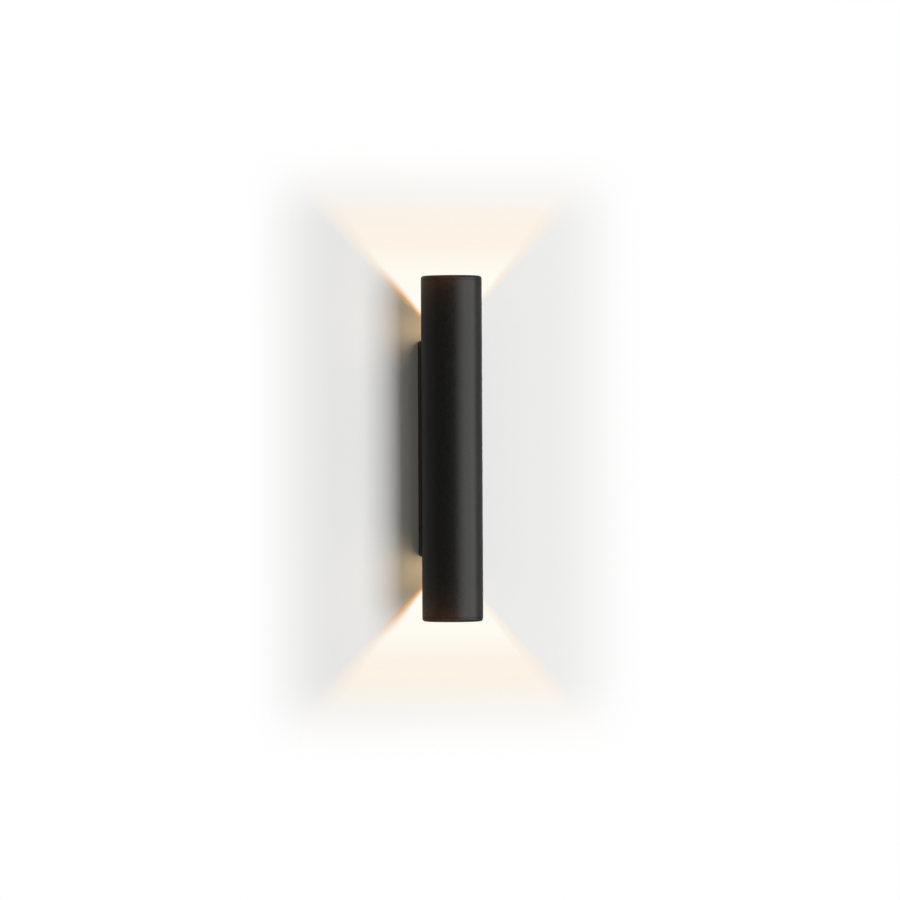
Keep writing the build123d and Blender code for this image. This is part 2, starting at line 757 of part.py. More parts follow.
def terminal_block():
    """Three poles side by side, parted by grooves, each with a wire way and two screw wells."""
    half_w, half_h = block_w / 2, block_h / 2
    body = slab((-half_w, block_seat_y, -half_h), (half_w, block_back_y, half_h))
    body = fillet(body.edges().filter_by(Axis.Y), block_edge_r)
    cuts = []
    half = block_groove_w / 2
    groove_y = block_back_y - block_groove_depth
    for x in fix_x:
        cuts.append(slab((x - half, groove_y, -half_h), (x + half, block_back_y, half_h)))
        cuts.append(rod(m25_d / 2 + bolt_gap, (x, block_seat_y, 0), (x, block_back_y, 0)))
        cuts.append(rod(m25_head_d / 2 + bolt_gap, (x, groove_y, 0), (x, block_back_y, 0)))
    for x in pole_x:
        way_r = mains_lead_d / 2 + lead_hole_gap
        cuts.append(rod(way_r, (x, wire_y, -half_h), (x, wire_y, half_h)))
        for side in (-1, 1):
            z = side * block_screw_z
            cuts.append(rod(block_well_r, (x, wire_y, z), (x, block_back_y, z)))
    return body - cuts


def terminal_screws():
    """The clamp screws, each just clear of the wire that it holds."""
    screws = []
    for x in pole_x:
        for side in (-1, 1):
            z = side * block_screw_z
            tip = (x, wire_y + mains_lead_d / 2 + seat_gap, z)
            top = (x, block_back_y - block_screw_recess, z)
            screws.append(rod(block_well_r - seat_gap, tip, top))
    return screws


def terminal_block_screws():
    """Two screws through the block into its pad."""
    seat_y = block_back_y - block_groove_depth
    length = seat_y - block_seat_y + block_fix_depth
    return [m25(length, (x, seat_y, 0), (0, 1, 0)) for x in fix_x]


def earth_tag():
    """A ring under the earth screw, a tail and the barrel that is crimped on the wire."""
    ring = rod(tag_r, (tag_x, tag_seat_y, tag_z), (tag_x, tag_seat_y + tag_t, tag_z))
    half = tag_tail_w / 2
    tail = slab((tag_x - half, tag_seat_y, tag_z), (tag_x + half, tag_seat_y + tag_t, tag_tail_z))
    hole = rod(m3_d / 2 + bolt_gap, (tag_x, tag_seat_y, tag_z), (tag_x, tag_seat_y + tag_t, tag_z))
    end = (tag_x, tag_barrel_y, tag_tail_z + tag_barrel_l)
    barrel = rod(tag_barrel_r, (tag_x, tag_barrel_y, tag_tail_z), end)
    bore = rod(mains_lead_d / 2 + lead_hole_gap, (tag_x, tag_barrel_y, tag_tail_z + tag_t), end)
    return ring + tail + barrel - hole - bore


def supply_lead(side, pole):
    """From the driver's lower end, through the grommet and up to its pole."""
    x = side * mains_lead_x
    turn_z = -block_h / 2 - pole_end_run
    return lead(
        mains_lead_d,
        mains_lead_r,
        (x, mains_lead_exit_y, -driver_h / 2 + lead_grip),
        (x, mains_lead_exit_y, grommet_z),
        (x, wire_y, grommet_z),
        (x, wire_y, turn_z - pole_run),
        (pole, wire_y, turn_z),
        (pole, wire_y, -block_h / 2 + lead_grip),
    )


def earth_lead():
    """From the last pole down and across to the earth tag's barrel."""
    turn_z = -block_h / 2 - pole_end_run
    return lead(
        mains_lead_d,
        earth_lead_r,
        (pole_x[-1], wire_y, -block_h / 2 + lead_grip),
        (pole_x[-1], wire_y, turn_z + earth_lead_r),
        (tag_x, tag_barrel_y, turn_z + earth_lead_r),
        (tag_x, tag_barrel_y, tag_tail_z + tag_t),
    )


def led_lead(side):
    """From the driver's upper end, out to the heat sink's notch, up and into the holder."""
    x = side * led_lead_x
    return lead(
        led_lead_d,
        led_lead_r,
        (x, led_lead_exit_y, driver_h / 2 - lead_grip),
        (x, led_lead_exit_y, led_lead_turn_z),
        (x, led_lead_run_y, led_lead_turn_z),
        (x, led_lead_run_y, led_lead_z),
        (x, led_lead_end_y, led_lead_z),
    )


# ---------------------------------------------------------------- the whole light

write("wall_bracket", wall_bracket())
write("back_box", back_box())
write("hanger_bars", *hanger_bars())
write("hanger_screws", *hanger_screws())
write("lock_screw_left", lock_screw(-1))
write("lock_screw_right", lock_screw(1))
write("body_tube", body_tube())
write_pair("end_ring", end_ring())

for node, piece in led_module().items():
    write_pair(node, piece)
write("holder_screws", *holder_screws(), *[lower(piece) for piece in holder_screws()])
write(
    "heat_sink_screws",
    *[m3(sink_screw_l, (0, floor_y, side * sink_screw_z), (0, 1, 0)) for side in (-1, 1)],
)

write("driver_carrier", driver_carrier())
write(
    "carrier_screws",
    *[m3(carrier_screw_l, (0, floor_y, side * carrier_screw_z), (0, 1, 0)) for side in (-1, 1)],
)
write("driver_base", driver_base())
write("driver_cover", driver_cover())
write("driver_board", driver_board())
write("driver_transformer", driver_transformer())
write("driver_capacitors", *driver_capacitors())
write(
    "driver_screws",
    *[m3(driver_screw_l, (0, driver_base_y, side * driver_screw_z), (0, -1, 0)) for side in (-1, 1)],
)

write("cable_grommet", cable_grommet())
write("terminal_block", terminal_block())
write("terminal_screws", *terminal_screws())
write("terminal_block_screws", *terminal_block_screws())
write("earth_tag", earth_tag())
write("earth_screw", m3(earth_screw_l, (tag_x, tag_seat_y + tag_t, tag_z), (0, 1, 0)))
write("neutral_lead", supply_lead(-1, pole_x[0]))
write("line_lead", supply_lead(1, pole_x[1]))
write("earth_lead", earth_lead())
for name, side in (("plus", 1), ("minus", -1)):
    write_pair(f"led_lead_{name}", led_lead(side))
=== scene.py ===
import json
import logging
import math
from collections.abc import Callable, Iterable
from dataclasses import dataclass
from enum import Enum
from typing import Any, ClassVar

import bmesh
import bpy
from mathutils import Matrix, Vector

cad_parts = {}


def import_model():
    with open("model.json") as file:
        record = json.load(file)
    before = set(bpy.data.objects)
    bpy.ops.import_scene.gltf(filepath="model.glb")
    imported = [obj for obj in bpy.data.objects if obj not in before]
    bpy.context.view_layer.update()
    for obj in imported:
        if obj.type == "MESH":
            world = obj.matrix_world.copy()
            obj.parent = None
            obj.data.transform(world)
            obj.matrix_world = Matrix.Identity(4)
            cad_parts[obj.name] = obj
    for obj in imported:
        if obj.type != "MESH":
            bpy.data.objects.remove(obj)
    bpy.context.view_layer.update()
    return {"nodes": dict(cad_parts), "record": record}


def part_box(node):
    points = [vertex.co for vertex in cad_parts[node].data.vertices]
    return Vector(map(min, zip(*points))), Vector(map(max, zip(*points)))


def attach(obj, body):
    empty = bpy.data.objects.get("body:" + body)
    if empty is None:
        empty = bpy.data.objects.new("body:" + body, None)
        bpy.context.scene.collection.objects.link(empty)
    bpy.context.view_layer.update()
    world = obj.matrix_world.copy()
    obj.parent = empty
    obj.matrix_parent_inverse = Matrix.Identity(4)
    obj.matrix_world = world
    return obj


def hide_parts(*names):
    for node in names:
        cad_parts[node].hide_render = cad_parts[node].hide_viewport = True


# Looks of a tube wall light that shines up and down the wall. Lengths are metres unless a name
# ends in _mm, +Z is up, the wall is the plane y = 0 and the light stands out along -Y.

LOG = logging.getLogger("tube_wall_light")
MM = 0.001
SAME_PLACE = MM / 1000  # vertices nearer than this are one
SHARP = math.radians(32)  # a packed edge that turns by more stays sharp
Span = tuple[float, float]
Point = tuple[float, float, float]
Colour = tuple[float, float, float, float]
Tree = bpy.types.NodeTree
Node = bpy.types.Node
Socket = bpy.types.NodeSocket
Piece = bpy.types.Object
WHITE: Colour = (1.0, 1.0, 1.0, 1.0)
BLACK: Colour = (0.0, 0.0, 0.0, 1.0)


# -------------------- colour and nodes


def srgb(hex_code: str) -> Colour:
    """Turns an sRGB colour into the linear one that shaders take.

    Args:
        hex_code: The colour as "#rrggbb".

    Returns:
        Red, green, blue and an alpha of 1, linear.
    """
    channels = []
    for start in (1, 3, 5):
        value = int(hex_code[start : start + 2], 16) / 255
        channels.append(value / 12.92 if value <= 0.04045 else ((value + 0.055) / 1.055) ** 2.4)
    return (*channels, 1.0)


def per_mm(feature_mm: float) -> float:
    """The scale of a pattern in metres whose features are that many millimetres apart."""
    return 1 / (feature_mm * MM)


def add_node(
    tree: Tree, kind: str, inputs: dict[Any, Any] | None = None, **settings: Any
) -> Node:
    """Adds a node with its settings, values and links.

    Args:
        tree: The node tree.
        kind: The node's type name, without the ShaderNode that it starts with.
        inputs: A value, or the output to link from, for each input by name or index.
        settings: The node's own properties.

    Returns:
        The new node.
    """
    node = tree.nodes.new(f"ShaderNode{kind}")
    for name, value in settings.items():
        setattr(node, name, value)
    for socket, value in (inputs or {}).items():
        if isinstance(value, Socket):
            tree.links.new(value, node.inputs[socket])
        else:
            node.inputs[socket].default_value = value
    return node


# -------------------- finishes


@dataclass(frozen=True)
class Finish:
    """One surface finish, named for its material slot in the record."""

    slot: str
    colour: str
    roughness: float = 0.5
    metallic: float = 0.0

    def material(self) -> bpy.types.Material:
        """Builds the material: a plain shader that dress() then works on.

        Returns:
            The material, named for its slot.
        """
        material = bpy.data.materials.new(self.slot)
        material.use_nodes = True
        tree = material.node_tree
        tree.nodes.clear()
        values = {"Base Color": srgb(self.colour), "Roughness": self.roughness}
        shader = add_node(tree, "BsdfPrincipled", values | {"Metallic": self.metallic})
        add_node(tree, "OutputMaterial", {"Surface": shader.outputs[0]})
        self.dress(tree, shader)
        return material

    def dress(self, tree: Tree, shader: Node) -> None:
        """Adds what the plain shader lacks."""
        raise NotImplementedError


@dataclass(frozen=True)
class Mottled(Finish):
    """A surface whose colour, gloss and height vary a little over a grain of a real size."""

    grain_mm: float = 0.5
    second_colour: str = "#000000"
    roughness_swing: float = 0.08
    bump_mm: float = 0.01
    stretch: Point = (1.0, 1.0, 1.0)
    colour_span: Span = (0.35, 0.65)  # of the grain, from the first colour to the second
    gloss_span: Span = (0.3, 0.7)  # of the grain, from least rough to roughest

    def dress(self, tree: Tree, shader: Node) -> None:
        """Links one noise to the colour, the roughness and the bump.

        Args:
            tree: The material's node tree.
            shader: Its principled shader.
        """
        where = add_node(tree, "TexCoord").outputs["Object"]
        stretched = add_node(tree, "Mapping", {"Vector": where, "Scale": self.stretch})
        grain = {"Scale": per_mm(self.grain_mm), "Detail": 3.0, "Roughness": 0.55}
        noise = add_node(tree, "TexNoise", {"Vector": stretched.outputs[0]} | grain)
        height = noise.outputs["Fac"]
        ramp = add_node(tree, "ValToRGB", {"Fac": height})
        colours = (self.colour, self.second_colour)
        for stop, position, colour in zip(ramp.color_ramp.elements, self.colour_span, colours):
            stop.position = position
            stop.color = srgb(colour)
        tree.links.new(ramp.outputs["Color"], shader.inputs["Base Color"])
        values = {
            "Value": height,
            "From Min": self.gloss_span[0],
            "From Max": self.gloss_span[1],
            "To Min": self.roughness - self.roughness_swing,
            "To Max": self.roughness + self.roughness_swing,
        }
        rough = add_node(tree, "MapRange", values)
        tree.links.new(rough.outputs[0], shader.inputs["Roughness"])
        values = {"Height": height, "Strength": 1.0, "Distance": self.bump_mm * MM}
        bump = add_node(tree, "Bump", values)
        tree.links.new(bump.outputs[0], shader.inputs["Normal"])


@dataclass(frozen=True)
class PowderCoat(Mottled):
    """Black polyester powder coat, baked on: satin, with the fine peel that sprayed powder has."""

    specular: float = 0.2  # where 0.5 is the shine of common lacquer

    def dress(self, tree: Tree, shader: Node) -> None:
        """Lowers the shine of the peel."""
        super().dress(tree, shader)
        shader.inputs["Specular IOR Level"].default_value = self.specular


@dataclass(frozen=True)
class MouldedPlastic(Mottled):
    """A moulded plastic that lets a little light in under its skin."""

    below_skin: float = 0.12  # of the light spreads there
    depth_mm: float = 0.6

    def dress(self, tree: Tree, shader: Node) -> None:
        """Adds the light that spreads below the skin.

        Args:
            tree: The material's node tree.
            shader: Its principled shader.
        """
        super().dress(tree, shader)
        shader.inputs["Subsurface Weight"].default_value = self.below_skin
        shader.inputs["Subsurface Scale"].default_value = self.depth_mm * MM


@dataclass(frozen=True)
class ClearGlass(Finish):
    """Toughened soda-lime glass, polished on both faces: clear, with sharp reflections."""

    index: float = 1.52  # of refraction
    beam_tint: str = "#f7faf7"

    def dress(self, tree: Tree, shader: Node) -> None:
        """Lets light through, for the beam without bending it.

        Args:
            tree: The material's node tree.
            shader: Its principled shader.
        """
        shader.inputs["Transmission Weight"].default_value = 1.0
        shader.inputs["IOR"].default_value = self.index
        ray = add_node(tree, "LightPath").outputs["Is Shadow Ray"]
        clear = add_node(tree, "BsdfTransparent", {"Color": srgb(self.beam_tint)})
        output = next(node for node in tree.nodes if node.type == "OUTPUT_MATERIAL")
        both = add_node(tree, "MixShader", {0: ray, 1: shader.outputs[0], 2: clear.outputs[0]})
        tree.links.new(both.outputs[0], output.inputs["Surface"])


@dataclass(frozen=True)
class Phosphor(Mottled):
    """The silicone over the LED chips, loaded with yellow phosphor, which glows warm white."""

    glow: str = "#ffd9a0"
    strength: float = 6.0

    def dress(self, tree: Tree, shader: Node) -> None:
        """Adds the glow.

        Args:
            tree: The material's node tree.
            shader: Its principled shader.
        """
        super().dress(tree, shader)
        shader.inputs["Emission Color"].default_value = srgb(self.glow)
        shader.inputs["Emission Strength"].default_value = self.strength


@dataclass(frozen=True)
class CircuitBoard(Finish):
    """Glass-fibre board under green solder mask, with copper tracks that show as paler lines."""

    track_colour: str = "#3f8a55"
    track_pitch_mm: float = 2.4
    track_width: float = 0.18  # of the pitch
    track_rise_mm: float = 0.03

    def dress(self, tree: Tree, shader: Node) -> None:
        """Draws the tracks as the joints of a running brick pattern.

        Args:
            tree: The material's node tree.
            shader: Its principled shader.
        """
        where = add_node(tree, "TexCoord").outputs["Object"]
        upright = (math.radians(90), 0, 0)
        turned = add_node(tree, "Mapping", {"Vector": where, "Rotation": upright})
        tracks = add_node(
            tree,
            "TexBrick",
            {
                "Vector": turned.outputs[0],
                "Color1": srgb(self.colour),
                "Color2": srgb(self.colour),
                "Mortar": srgb(self.track_colour),
                "Scale": per_mm(self.track_pitch_mm),
                "Mortar Size": self.track_width / 2,
                "Brick Width": 2.0,
                "Row Height": 1.0,
            },
        )
        tree.links.new(tracks.outputs["Color"], shader.inputs["Base Color"])
        rise = self.track_rise_mm * MM
        values = {"Height": tracks.outputs["Fac"], "Strength": 0.6, "Distance": rise}
        bump = add_node(tree, "Bump", values)
        tree.links.new(bump.outputs[0], shader.inputs["Normal"])


@dataclass(frozen=True)
class StripedInsulation(Finish):
    """Earth wire: soft green PVC with a yellow stripe that winds slowly round it."""

    stripe: str = "#d9c21e"
    stripe_pitch_mm: float = 9.0
    stripe_from: float = 0.6  # of the wave that winds it

    def dress(self, tree: Tree, shader: Node) -> None:
        """Winds the stripe about the wire, which runs mostly upright.

        Args:
            tree: The material's node tree.
            shader: Its principled shader.
        """
        where = add_node(tree, "TexCoord").outputs["Object"]
        wave = add_node(
            tree,
            "TexWave",
            {"Vector": where, "Scale": per_mm(self.stripe_pitch_mm) / 2, "Distortion": 0.0},
            bands_direction="DIAGONAL",
        )
        ramp = add_node(tree, "ValToRGB", {"Fac": wave.outputs["Fac"]})
        ramp.color_ramp.interpolation = "CONSTANT"
        green, yellow = ramp.color_ramp.elements
        green.color = srgb(self.colour)
        yellow.position = self.stripe_from
        yellow.color = srgb(self.stripe)
        tree.links.new(ramp.outputs["Color"], shader.inputs["Base Color"])


FINISHES: tuple[Finish, ...] = (
    # Sprayed and baked polyester powder: satin over a peel that is drawn 1.5 mm across to show.
    PowderCoat("black_powder_coat", "#131312", 0.36, 0.0, 1.5, "#1b1b1a", 0.06, 0.025),
    # Dyed anodic film on turned aluminium: dull black with faint turning marks round the axis.
    Mottled("black_anodised", "#191a1c", 0.42, 0.0, 0.4, "#222327", 0.07, 0.006, (1.0, 1.0, 6.0)),
    # Oiled black oxide on hardened steel: nearly black with a brown cast.
    Mottled("black_oxide_steel", "#2a2826", 0.38, 0.7, 0.6, "#3a3836", 0.08, 0.006),
    # Bright zinc plate on cold-rolled steel: grey, slightly blue, with a soft spangle.
    Mottled("zinc_plated_steel", "#b4b9bd", 0.3, 1.0, 2.2, "#cdd2d3", 0.08, 0.006),
    # Aluminium as extruded: drawn lines along its length.
    Mottled("mill_aluminium", "#b3b5b7", 0.36, 1.0, 0.5, "#c9cbcd", 0.08, 0.008, (1.0, 1.0, 0.05)),
    # Bright-dipped and anodised aluminium: close to a mirror.
    Mottled("bright_aluminium", "#dfe0e0", 0.14, 1.0, 1.5, "#eaebeb", 0.03, 0.004),
    # Heat-proof white polycarbonate: a satin moulding.
    MouldedPlastic("white_polycarbonate", "#dededa", 0.42, 0.0, 0.35, "#e6e6e2", 0.05, 0.006),
    # Undyed nylon: cream and slightly milky.
    MouldedPlastic("natural_nylon", "#d6cfb9", 0.45, 0.0, 0.4, "#e0dac6", 0.05, 0.006),
    CircuitBoard("circuit_board", "#1a4f31", 0.38),
    # Sintered ferrite: dark grey and fine-grained.
    Mottled("ferrite_core", "#2e2f33", 0.72, 0.0, 0.2, "#3c3d42", 0.08, 0.02),
    # PVC sleeve shrunk on an aluminium can: glossy and very dark blue.
    Mottled("capacitor_sleeve", "#16202e", 0.26, 0.0, 1.2, "#1c2838", 0.04, 0.004),
    # White solder mask on an aluminium-core board: even and semi-gloss.
    Mottled("led_board", "#e2e1db", 0.34, 0.0, 0.3, "#ebeae5", 0.04, 0.003),
    Phosphor("led_phosphor", "#e2b233", 0.5, 0.0, 0.25, "#edc452", 0.05, 0.01),
    ClearGlass("clear_glass", "#ffffff", 0.0),
    # Silicone rubber: matt grey with a dusty skin.
    Mottled("grey_silicone", "#7c7d7d", 0.66, 0.0, 0.3, "#8a8b8b", 0.05, 0.01),
    # Moulded rubber: matt black.
    Mottled("black_rubber", "#1b1b1b", 0.68, 0.0, 0.35, "#262626", 0.06, 0.012),
    # Brass with a tin plate: pale and slightly warm.
    Mottled("tinned_brass", "#c3bba6", 0.3, 1.0, 0.8, "#d2ccba", 0.07, 0.006),
    # PVC insulation: semi-gloss, with the faint ripple of the extruder.
    Mottled("blue_wire", "#2356a8", 0.34, 0.0, 1.4, "#2a60b4", 0.04, 0.01),
    Mottled("brown_wire", "#5c3a21", 0.34, 0.0, 1.4, "#684328", 0.04, 0.01),
    StripedInsulation("green_yellow_wire", "#2f8a3a", 0.34),
    Mottled("red_wire", "#b3201d", 0.34, 0.0, 1.4, "#bf2925", 0.04, 0.01),
    Mottled("black_wire", "#1a1a1b", 0.34, 0.0, 1.4, "#232324", 0.04, 0.01),
)


# -------------------- modelling by hand


def select_only(*pieces: Piece) -> None:
    """Selects these pieces alone and makes the first of them active.

    Args:
        pieces: The pieces, or none, which leaves nothing selected.
    """
    bpy.ops.object.select_all(action="DESELECT")
    for piece in pieces:
        piece.select_set(True)
    if pieces:
        bpy.context.view_layer.objects.active = pieces[0]


def select_vertices(piece: Piece, test: Callable[[Vector], bool]) -> None:
    """In edit mode, selects the vertices whose place passes the test, with what they bound.

    Args:
        piece: The mesh object in edit mode.
        test: Says of a place whether it is wanted.
    """
    mesh = bmesh.from_edit_mesh(piece.data)
    for vertex in mesh.verts:
        vertex.select = test(vertex.co)
    mesh.select_mode = {"VERT"}
    mesh.select_flush_mode()
    bmesh.update_edit_mesh(piece.data)


def bevel(piece: Piece, test: Callable[[Vector], bool], width: float, segments: int) -> None:
    """Rounds the edges between the vertices whose place passes a test.

    Args:
        piece: The mesh object, in object mode.
        test: Says of a place whether it is wanted.
        width: How far the rounding reaches.
        segments: How many faces it has.
    """
    bpy.ops.object.mode_set(mode="EDIT")
    select_vertices(piece, test)
    bpy.ops.mesh.bevel(offset=width, segments=segments, affect="EDGES")
    bpy.ops.object.mode_set(mode="OBJECT")


def rod(radius: float, length: float, middle: Point, steps: int, turn: Point = (0, 0, 0)) -> Piece:
    """Adds a plain rod.

    Args:
        radius: Its radius.
        length: Its length.
        middle: Its middle.
        steps: How many sides it has.
        turn: Its rotation from upright.

    Returns:
        The rod.
    """
    select_only()
    bpy.ops.mesh.primitive_cylinder_add(
        vertices=steps, radius=radius, depth=length, location=middle, rotation=turn
    )
    bpy.ops.object.transform_apply(location=True, rotation=True)
    return bpy.context.object


def draw_profile(points: Iterable[Point]) -> Piece:
    """Extrudes one vertex from point to point, and closes the loop.

    Args:
        points: The corners of the outline, in order.

    Returns:
        The outline as a mesh object, in edit mode, all selected.
    """
    corners = [Vector(point) for point in points]
    select_only()
    bpy.ops.mesh.primitive_plane_add(size=MM)
    piece = bpy.context.object
    bpy.ops.object.mode_set(mode="EDIT")
    bpy.ops.mesh.select_all(action="SELECT")
    bpy.ops.mesh.merge(type="CENTER")
    bpy.ops.transform.translate(value=corners[0])
    for start, end in zip(corners, corners[1:] + corners[:1]):
        bpy.ops.mesh.extrude_vertices_move(TRANSFORM_OT_translate={"value": end - start})
    bpy.ops.mesh.select_all(action="SELECT")
    bpy.ops.mesh.remove_doubles(threshold=SAME_PLACE)
    return piece


def spin_profile(outline: Iterable[Span], axis_y: float, steps: int, name: str) -> Piece:
    """Turns an outline about the upright line at x = 0 and points its faces outwards.

    Args:
        outline: The radius and height of each corner, in order.
        axis_y: The line's y.
        steps: How many steps make the full turn.
        name: The piece's name.

    Returns:
        The turned piece.
    """
    piece = draw_profile([(radius, axis_y, z) for radius, z in outline])
    piece.name = name
    bpy.ops.mesh.spin(steps=steps, angle=2 * math.pi, center=(0, axis_y, 0), axis=(0, 0, 1))
    bpy.ops.mesh.select_all(action="SELECT")
    bpy.ops.mesh.remove_doubles(threshold=SAME_PLACE)
    bpy.ops.mesh.normals_make_consistent(inside=False)
    bpy.ops.object.mode_set(mode="OBJECT")
    piece.data.update()
    return piece


def join(pieces: list[Piece], name: str) -> Piece:
    """Joins pieces into one mesh.

    Args:
        pieces: The pieces, one or more.
        name: The name of what they make.

    Returns:
        The first piece, which holds them all.
    """
    select_only(*pieces)
    bpy.ops.object.join()
    pieces[0].name = name
    pieces[0].data.name = name
    return pieces[0]


def cut(piece: Piece, cutter: Piece) -> None:
    """Cuts one piece out of another.

    Args:
        piece: The piece that is cut.
        cutter: The piece that cuts, which is removed.
    """
    modifier = piece.modifiers.new("cut", "BOOLEAN")
    modifier.operation = "DIFFERENCE"
    modifier.solver = "EXACT"
    modifier.object = cutter
    select_only(piece)
    bpy.ops.object.modifier_apply(modifier="cut")
    bpy.data.objects.remove(cutter)


def solids_of(node: Piece) -> list[tuple[Vector, Vector]]:
    """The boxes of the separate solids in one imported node.

    Args:
        node: The node's object, which is only read.

    Returns:
        The lowest and highest corner of each solid, from the lowest upwards.
    """
    mesh = bmesh.new()
    mesh.from_mesh(node.data)
    bmesh.ops.remove_doubles(mesh, verts=mesh.verts, dist=SAME_PLACE)
    waiting = set(mesh.verts)
    boxes = []
    while waiting:
        front = [waiting.pop()]
        places = []
        while front:
            vertex = front.pop()
            places.append(vertex.co.copy())
            for edge in vertex.link_edges:
                other = edge.other_vert(vertex)
                if other in waiting:
                    waiting.discard(other)
                    front.append(other)
        low = Vector(min(place[axis] for place in places) for axis in range(3))
        high = Vector(max(place[axis] for place in places) for axis in range(3))
        boxes.append((low, high))
    mesh.free()
    return sorted(boxes, key=lambda box: (round(box[0].z, 5), round(box[0].x, 5)))


class Facing(Enum):
    """Which way a screw's head faces."""

    WALL = (0, 1, 0)
    ROOM = (0, -1, 0)
    NEARER_END = (0, 0, 1)  # up in the light's upper half, down in its lower one

    def axis(self, middle: Vector) -> Vector:
        """The direction for a screw whose middle is there."""
        way = -1 if self is Facing.NEARER_END and middle.z < 0 else 1
        return Vector(self.value) * way


class Thread(Enum):
    """Metric screws: shank diameter, thread pitch and head height in millimetres."""

    M3 = (3.0, 0.5, 1.6)
    M25 = (2.5, 0.45, 1.3)


@dataclass(frozen=True)
class PanScrew:
    """A pan-head machine screw with a cross recess and a rolled thread."""

    thread: Thread
    head_d: float
    length: float
    rim_r_mm: float = 0.5
    recess_span: float = 0.56  # of the head's diameter
    recess_w_mm: float = 0.62
    recess_depth_mm: float = 1.0
    recess_taper: float = 0.55  # of its size is left at its bottom
    thread_depth: float = 0.54  # of the pitch
    ridge_share: float = 0.6  # of the pitch that a ridge's foot takes
    lead_in_mm: float = 0.4

    def head(self) -> Piece:
        """Makes the head above z = 0, with its rim rounded and its recess cut.

        Returns:
            The head.
        """
        height = self.thread.value[2] * MM
        piece = rod(self.head_d / 2, height, (0, 0, height / 2), steps=48)
        bevel(piece, lambda place: place.z > height / 2, self.rim_r_mm * MM, segments=5)
        depth = self.recess_depth_mm * MM
        past = MM / 2  # by which the cutters stand out of the head
        arms = []
        for turn in (0, math.pi / 2):
            select_only()
            bpy.ops.mesh.primitive_cube_add(size=1, location=(0, 0, height + (past - depth) / 2))
            arm = bpy.context.object
            arm.scale = (self.head_d * self.recess_span, self.recess_w_mm * MM, depth + past)
            arm.rotation_euler.z = turn
            bpy.ops.object.transform_apply(location=True, rotation=True, scale=True)
            bpy.ops.object.mode_set(mode="EDIT")
            select_vertices(arm, lambda place: place.z < height - depth / 2)
            bpy.ops.transform.resize(value=(self.recess_taper, self.recess_taper, 1.0))
            bpy.ops.object.mode_set(mode="OBJECT")
            arms.append(arm)
        for arm in arms:
            cut(piece, arm)
        return piece

    def shank(self) -> Piece:
        """Makes the core below z = 0, its tip bevelled, with the thread wound round it.

        Returns:
            The shank.
        """
        diameter, pitch, _ = (value * MM for value in self.thread.value)
        depth = pitch * self.thread_depth
        core_r = diameter / 2 - depth
        core = rod(core_r, self.length, (0, 0, -self.length / 2), steps=32)
        bevel(core, lambda place: place.z < -self.length / 2, depth, segments=1)
        foot = pitch * self.ridge_share / 2
        inside = core_r - depth / 4
        start = -self.length + self.lead_in_mm * MM
        ridge = draw_profile(
            [(inside, 0, start - foot), (diameter / 2, 0, start), (inside, 0, start + foot)]
        )
        bpy.ops.object.mode_set(mode="OBJECT")
        turns = int((self.length - 2 * self.lead_in_mm * MM) / pitch)
        winding = ridge.modifiers.new("winding", "SCREW")
        winding.axis = "Z"
        winding.screw_offset = pitch
        winding.iterations = turns
        winding.steps = winding.render_steps = 24
        winding.use_merge_vertices = False
        bpy.ops.object.modifier_apply(modifier="winding")
        bpy.ops.object.mode_set(mode="EDIT")
        bpy.ops.mesh.select_all(action="DESELECT")
        bpy.ops.mesh.select_non_manifold()
        bpy.ops.mesh.fill()
        bpy.ops.mesh.select_all(action="SELECT")
        bpy.ops.mesh.normals_make_consistent(inside=False)
        bpy.ops.object.mode_set(mode="OBJECT")
        return join([core, ridge], "shank")

    def build(self, name: str) -> Piece:
        """Makes the whole screw.

        Args:
            name: Its name.

        Returns:
            The screw, facing up, with its head's seat at z = 0.
        """
        piece = join([self.head(), self.shank()], name)
        bpy.ops.object.shade_smooth_by_angle(angle=math.radians(30))
        return piece


# -------------------- sub-assemblies


